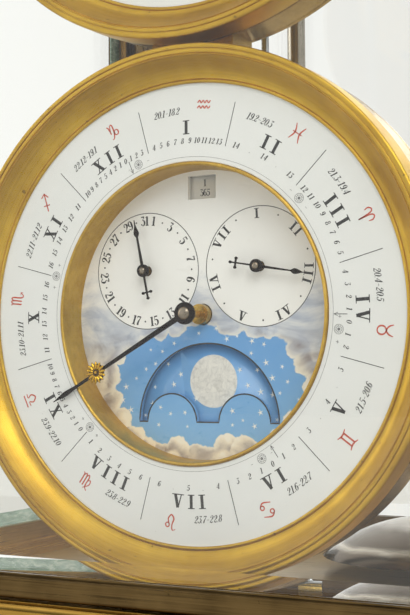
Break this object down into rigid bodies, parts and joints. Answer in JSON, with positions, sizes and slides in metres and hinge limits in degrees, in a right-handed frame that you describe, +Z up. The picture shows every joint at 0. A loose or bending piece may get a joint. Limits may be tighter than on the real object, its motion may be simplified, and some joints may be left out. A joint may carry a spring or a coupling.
{
  "type": "calendar mantel clock",
  "caption": "Glazed brass mantel clock with a time dial above a calendar dial, hinged front and rear glass doors, geared works, pendulum and bell.",
  "frame": {"origin": "centre of the underside of the four feet, on the surface the clock stands on", "axes": "+Z up, -Y out of the front door towards the viewer, +X to the viewer's right"},
  "size_m": [0.254, 0.198, 0.415],
  "materials": {
    "gilt_case": "satin gilt brass",
    "gilt_dial": "brushed gilt brass, concentric brushing",
    "bronze_rail": "dark bronzed brass",
    "works_brass": "lacquered brass",
    "floor_satin": "satin taupe",
    "glass": "clear bevelled glass with a green edge",
    "enamel": "glossy white enamel",
    "moon_paint": "painted night sky",
    "hand_steel": "dark blued steel",
    "steel": "polished steel",
    "bell_steel": "polished nickel"
  },
  "bodies": {
    "case": {"base_plinth": "gilt_case", "feet": "gilt_case", "floor_plate": "floor_satin", "corner_posts": "gilt_case", "side_rails": "bronze_rail", "left_glass": "glass", "right_glass": "glass", "ceiling_plate": "floor_satin", "crown": "gilt_case", "door_pins": "steel", "drum_mounts": "gilt_dial", "bell": "bell_steel", "bell_post": "works_brass", "recess_rings": "gilt_dial", "calendar_drum": "gilt_dial", "calendar_bezel": "gilt_dial", "calendar_enamel": "enamel", "calendar_centre": "enamel", "calendar_front_plate": "works_brass", "calendar_back_plate": "works_brass", "time_drum": "gilt_dial", "time_bezel": "gilt_dial", "time_enamel": "enamel", "time_centre": "enamel", "front_plate": "works_brass", "back_plate": "works_brass", "pendulum_cock": "works_brass"},
    "front_door": {"front_door_frame": "bronze_rail", "front_glass": "glass"},
    "rear_door": {"rear_door_frame": "bronze_rail", "rear_glass": "glass"},
    "minute": {"centre_wheel": "works_brass", "minute_hand": "hand_steel"},
    "going_barrel": {"going_barrel": "works_brass"},
    "going_winding": {"going_winding": "steel"},
    "third_wheel": {"third_wheel": "works_brass"},
    "escape_wheel": {"escape_wheel": "works_brass"},
    "minute_wheel": {"minute_wheel": "works_brass"},
    "hour": {"hour_hand": "hand_steel"},
    "pin_wheel": {"pin_wheel": "works_brass"},
    "strike_barrel": {"strike_barrel": "works_brass"},
    "strike_winding": {"strike_winding": "steel"},
    "fly": {"fly": "works_brass"},
    "hammer": {"hammer": "steel"},
    "pendulum": {"pendulum_rod": "steel", "pendulum_bob": "works_brass"},
    "rating_nut": {"rating_nut": "works_brass"},
    "pallets": {"pallets": "steel"},
    "year": {"year_wheel": "works_brass", "year_hand": "hand_steel"},
    "year_reduction": {"year_reduction": "works_brass"},
    "date": {"date_wheel": "works_brass", "date_hand": "hand_steel"},
    "day": {"day_wheel": "works_brass", "day_hand": "hand_steel"},
    "moon_idler": {"moon_idler": "works_brass"},
    "moon": {"moon_disc": "moon_paint"},
    "leap": {"leap_disc": "enamel"},
    "trip_lever": {"trip_lever": "steel"},
    "trip_rod": {"trip_rod": "steel"}
  },
  "joints": [
    {"name": "front_door_hinge", "type": "hinge", "parent": "case", "child": "front_door", "pos_m": [0.1026, -0.085, 0.212], "axis": [0, 0, 1], "range_deg": [0, 90]},
    {"name": "rear_door_hinge", "type": "hinge", "parent": "case", "child": "rear_door", "pos_m": [-0.1026, 0.085, 0.212], "axis": [0, 0, 1], "range_deg": [0, 90]},
    {"name": "minute_spin", "type": "hinge", "parent": "case", "child": "minute", "pos_m": [0, -0.03, 0.286], "axis": [0, 1, 0], "continuous": true},
    {"name": "going_barrel_spin", "type": "hinge", "parent": "case", "child": "going_barrel", "pos_m": [0.01691, -0.03, 0.27984], "axis": [0, 1, 0], "continuous": true},
    {"name": "third_wheel_spin", "type": "hinge", "parent": "case", "child": "third_wheel", "pos_m": [0.00699, -0.03, 0.29972], "axis": [0, 1, 0], "continuous": true},
    {"name": "escape_wheel_spin", "type": "hinge", "parent": "case", "child": "escape_wheel", "pos_m": [0, -0.03, 0.31092], "axis": [0, 1, 0], "continuous": true},
    {"name": "minute_wheel_spin", "type": "hinge", "parent": "case", "child": "minute_wheel", "pos_m": [0, -0.03, 0.2748], "axis": [0, 1, 0], "continuous": true},
    {"name": "hour_spin", "type": "hinge", "parent": "case", "child": "hour", "pos_m": [0, -0.03, 0.286], "axis": [0, 1, 0], "continuous": true},
    {"name": "going_winding_spin", "type": "hinge", "parent": "case", "child": "going_winding", "pos_m": [0.01691, -0.03, 0.27984], "axis": [0, 1, 0], "continuous": true},
    {"name": "pin_wheel_spin", "type": "hinge", "parent": "case", "child": "pin_wheel", "pos_m": [-0.02004, -0.03, 0.29757], "axis": [0, 1, 0], "continuous": true},
    {"name": "strike_barrel_spin", "type": "hinge", "parent": "case", "child": "strike_barrel", "pos_m": [-0.01691, -0.03, 0.27984], "axis": [0, 1, 0], "continuous": true},
    {"name": "fly_spin", "type": "hinge", "parent": "case", "child": "fly", "pos_m": [-0.01742, -0.03, 0.30989], "axis": [0, 1, 0], "continuous": true},
    {"name": "strike_winding_spin", "type": "hinge", "parent": "case", "child": "strike_winding", "pos_m": [-0.01691, -0.03, 0.27984], "axis": [0, 1, 0], "continuous": true},
    {"name": "hammer_lift", "type": "hinge", "parent": "case", "child": "hammer", "pos_m": [-0.034, -0.03, 0.292], "axis": [0, 1, 0], "range_deg": [0, 3]},
    {"name": "pendulum_swing", "type": "hinge", "parent": "case", "child": "pendulum", "pos_m": [0, 0.01352, 0.3225], "axis": [0, 1, 0], "range_deg": [-2.5, 2.5]},
    {"name": "pallets_rock", "type": "hinge", "parent": "case", "child": "pallets", "pos_m": [0, -0.02, 0.3225], "axis": [0, 1, 0], "range_deg": [-2.5, 2.5]},
    {"name": "rating_nut_turn", "type": "hinge", "parent": "pendulum", "child": "rating_nut", "pos_m": [0, 0.01352, 0.0905], "axis": [0, 0, 1], "continuous": true},
    {"name": "year_spin", "type": "hinge", "parent": "case", "child": "year", "pos_m": [0, -0.05, 0.134], "axis": [0, 1, 0], "continuous": true},
    {"name": "year_reduction_spin", "type": "hinge", "parent": "case", "child": "year_reduction", "pos_m": [0.01986, -0.05, 0.12716], "axis": [0, 1, 0], "continuous": true},
    {"name": "day_spin", "type": "hinge", "parent": "case", "child": "day", "pos_m": [0.0183, -0.05, 0.1471], "axis": [0, 1, 0], "continuous": true},
    {"name": "date_spin", "type": "hinge", "parent": "case", "child": "date", "pos_m": [-0.0183, -0.05, 0.1471], "axis": [0, 1, 0], "continuous": true},
    {"name": "moon_idler_spin", "type": "hinge", "parent": "case", "child": "moon_idler", "pos_m": [0.01787, -0.05, 0.13235], "axis": [0, 1, 0], "continuous": true},
    {"name": "moon_spin", "type": "hinge", "parent": "case", "child": "moon", "pos_m": [0.0014, -0.05, 0.1032], "axis": [0, 1, 0], "continuous": true},
    {"name": "leap_spin", "type": "hinge", "parent": "case", "child": "leap", "pos_m": [0, -0.05, 0.156], "axis": [0, 1, 0], "continuous": true},
    {"name": "trip_lever_lift", "type": "hinge", "parent": "case", "child": "trip_lever", "pos_m": [0, -0.05, 0.178], "axis": [0, -1, 0], "range_deg": [0, 6]},
    {"name": "trip_rod_slide", "type": "slide", "parent": "case", "child": "trip_rod", "axis": [0, 0, 1], "range_m": [0, 0.0011]}
  ],
  "couplings": [
    {"joint": "going_barrel_spin", "follows": "minute_spin", "ratio": -0.125},
    {"joint": "third_wheel_spin", "follows": "minute_spin", "ratio": -10},
    {"joint": "escape_wheel_spin", "follows": "minute_spin", "ratio": 100},
    {"joint": "minute_wheel_spin", "follows": "minute_spin", "ratio": -0.33333},
    {"joint": "hour_spin", "follows": "minute_spin", "ratio": 0.083333},
    {"joint": "strike_barrel_spin", "follows": "pin_wheel_spin", "ratio": -0.125},
    {"joint": "fly_spin", "follows": "pin_wheel_spin", "ratio": -8},
    {"joint": "pallets_rock", "follows": "pendulum_swing", "ratio": 1},
    {"joint": "year_reduction_spin", "follows": "year_spin", "ratio": -5},
    {"joint": "day_spin", "follows": "year_spin", "ratio": 52.143},
    {"joint": "date_spin", "follows": "year_spin", "ratio": 11.774},
    {"joint": "moon_idler_spin", "follows": "year_spin", "ratio": -10.735},
    {"joint": "moon_spin", "follows": "year_spin", "ratio": 6.1864},
    {"joint": "leap_spin", "follows": "year_spin", "ratio": -0.25},
    {"joint": "trip_rod_slide", "follows": "trip_lever_lift", "m_per_rad": 0.01}
  ]
}
